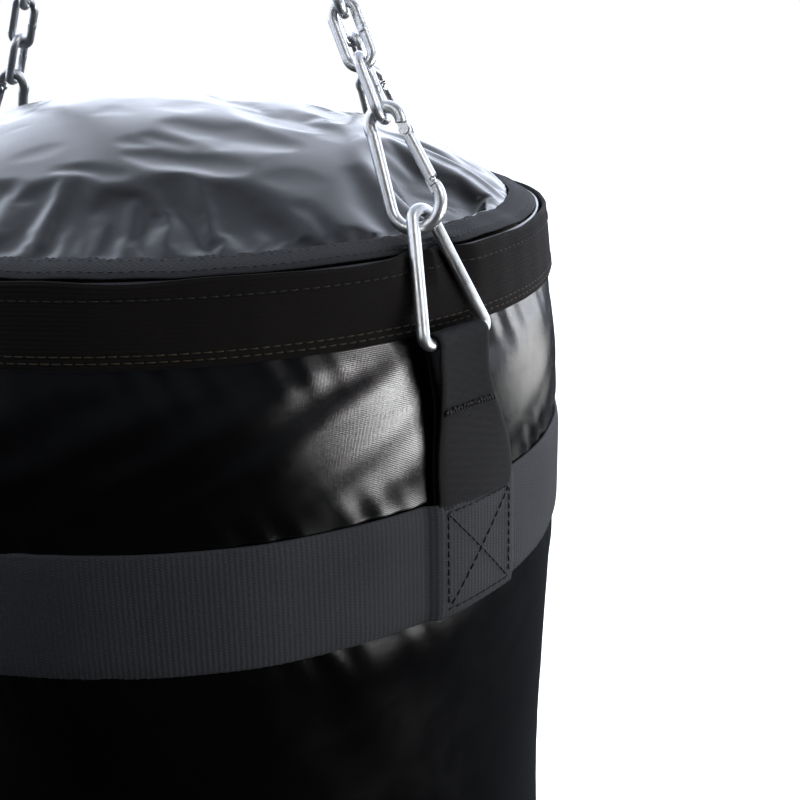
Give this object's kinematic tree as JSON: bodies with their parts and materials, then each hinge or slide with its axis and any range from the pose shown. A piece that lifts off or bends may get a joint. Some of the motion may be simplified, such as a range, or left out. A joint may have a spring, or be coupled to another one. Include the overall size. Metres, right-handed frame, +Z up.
{
  "type": "hanging punching bag",
  "caption": "Heavy cylindrical training bag in black vinyl, hung by webbing straps, snap hooks and chains from a ball-bearing swivel and a top snap hook.",
  "frame": {"origin": "point where the top snap hook's narrow end bears on the ceiling eye", "axes": "+Z up, +Y from the front of the bag to its back, +X to the right seen from the front"},
  "size_m": [0.3568, 0.3568, 1.6174],
  "materials": {
    "vinyl": "glossy black coated cloth with a fine pressed grain",
    "seam_tape": "black twill tape",
    "webbing": "black ribbed polyester webbing",
    "foam": "grey foam sheet",
    "filling": "packed shredded textile",
    "zinc_steel": "bright zinc plating",
    "bearing_steel": "ground and hardened",
    "bearing_cage": "pressed sheet"
  },
  "bodies": {
    "top_hook": {"top_hook": "zinc_steel", "top_rivet": "zinc_steel"},
    "top_gate": {"top_gate": "zinc_steel"},
    "stirrup": {"swivel_stirrup": "zinc_steel", "race_lower": "bearing_steel"},
    "balls": {"bearing_balls": "bearing_steel", "bearing_cage": "bearing_cage"},
    "eye": {"swivel_eye": "zinc_steel", "race_upper": "bearing_steel", "swivel_nut": "zinc_steel", "cotter_pin": "zinc_steel"},
    "bag": {"side_shell": "vinyl", "lid_panel": "vinyl", "bottom_panel": "vinyl", "lid_binding": "seam_tape", "bottom_binding": "seam_tape", "top_band": "webbing", "strap_belt": "webbing", "strap_1": "webbing", "strap_2": "webbing", "strap_3": "webbing", "strap_4": "webbing", "foam_liner": "foam", "filler_core": "filling", "lid_pad": "foam", "ring_1": "zinc_steel", "ring_2": "zinc_steel", "ring_3": "zinc_steel", "ring_4": "zinc_steel", "hook_1": "zinc_steel", "hook_2": "zinc_steel", "hook_3": "zinc_steel", "hook_4": "zinc_steel", "gate_rivets": "zinc_steel", "chain_1": "zinc_steel", "chain_2": "zinc_steel", "chain_3": "zinc_steel", "chain_4": "zinc_steel", "chain_crown": "zinc_steel"},
    "gate_1": {"gate_1": "zinc_steel"},
    "gate_2": {"gate_2": "zinc_steel"},
    "gate_3": {"gate_3": "zinc_steel"},
    "gate_4": {"gate_4": "zinc_steel"}
  },
  "joints": [
    {"name": "swing_side", "type": "hinge", "parent": "top_hook", "child": "stirrup", "pos_m": [0, 0, -0.07394], "axis": [1, 0, 0], "range_deg": [-35, 35]},
    {"name": "swivel_spin", "type": "hinge", "parent": "stirrup", "child": "eye", "pos_m": [0, 0, -0.07394], "axis": [0, 0, 1], "continuous": true},
    {"name": "ball_orbit", "type": "hinge", "parent": "stirrup", "child": "balls", "pos_m": [0, 0, -0.07394], "axis": [0, 0, 1], "continuous": true},
    {"name": "swing_fore", "type": "hinge", "parent": "eye", "child": "bag", "pos_m": [0, 0, -0.13596], "axis": [0, 1, 0], "range_deg": [-35, 35]},
    {"name": "top_gate_open", "type": "hinge", "parent": "top_hook", "child": "top_gate", "pos_m": [0.01077, 0, -0.01527], "axis": [0, 1, 0], "range_deg": [0, 24], "stiffness_Nm_per_rad": 0.05, "springref_deg": -8.59},
    {"name": "gate_1_open", "type": "hinge", "parent": "bag", "child": "gate_1", "pos_m": [0.10254, -0.1149, -0.36609], "axis": [0.3751, 0.8943, -0.2439], "range_deg": [0, 24], "stiffness_Nm_per_rad": 0.01, "springref_deg": -8.59},
    {"name": "gate_2_open", "type": "hinge", "parent": "bag", "child": "gate_2", "pos_m": [0.10254, 0.1149, -0.36609], "axis": [-0.3751, 0.8943, 0.2439], "range_deg": [0, 24], "stiffness_Nm_per_rad": 0.01, "springref_deg": -8.59},
    {"name": "gate_3_open", "type": "hinge", "parent": "bag", "child": "gate_3", "pos_m": [-0.10254, 0.1149, -0.36609], "axis": [-0.3751, -0.8943, -0.2439], "range_deg": [0, 24], "stiffness_Nm_per_rad": 0.01, "springref_deg": -8.59},
    {"name": "gate_4_open", "type": "hinge", "parent": "bag", "child": "gate_4", "pos_m": [-0.10254, -0.1149, -0.36609], "axis": [0.3751, -0.8943, 0.2439], "range_deg": [0, 24], "stiffness_Nm_per_rad": 0.01, "springref_deg": -8.59}
  ]
}
